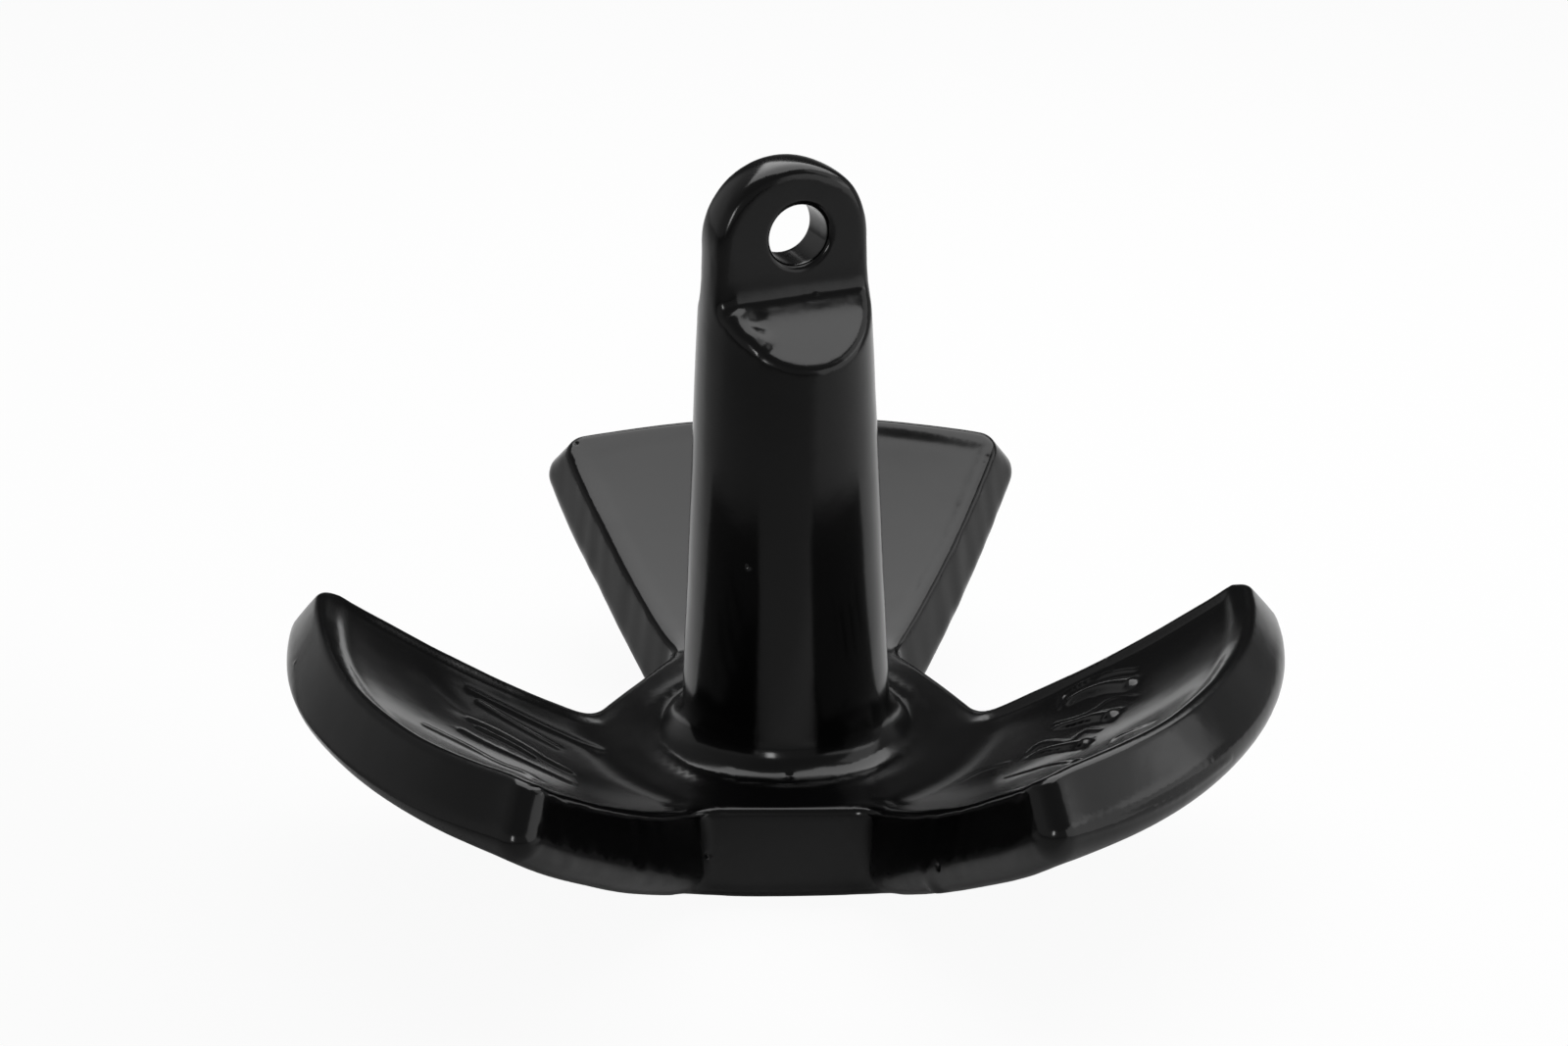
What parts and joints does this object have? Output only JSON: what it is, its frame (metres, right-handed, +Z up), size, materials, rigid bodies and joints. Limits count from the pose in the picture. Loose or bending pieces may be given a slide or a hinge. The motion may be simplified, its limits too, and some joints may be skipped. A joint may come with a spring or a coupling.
{
  "type": "river anchor",
  "caption": "One-piece river anchor: tapered round shank with a bored shackle eye on a dish cut into broad upturned flukes, under thick glossy black vinyl.",
  "frame": {"origin": "on the shank's axis, at the flat foot under the hub", "axes": "+Z up the shank, +Y towards the middle of one fluke, the other two at 120 degrees either way; the eye's plate is turned 23 degrees from the X axis"},
  "size_m": [0.303, 0.2833, 0.2157],
  "materials": {
    "coated_iron": "cast iron under a thick, glossy black vinyl coat"
  },
  "bodies": {
    "root": {"river_anchor": "coated_iron"}
  },
  "joints": []
}
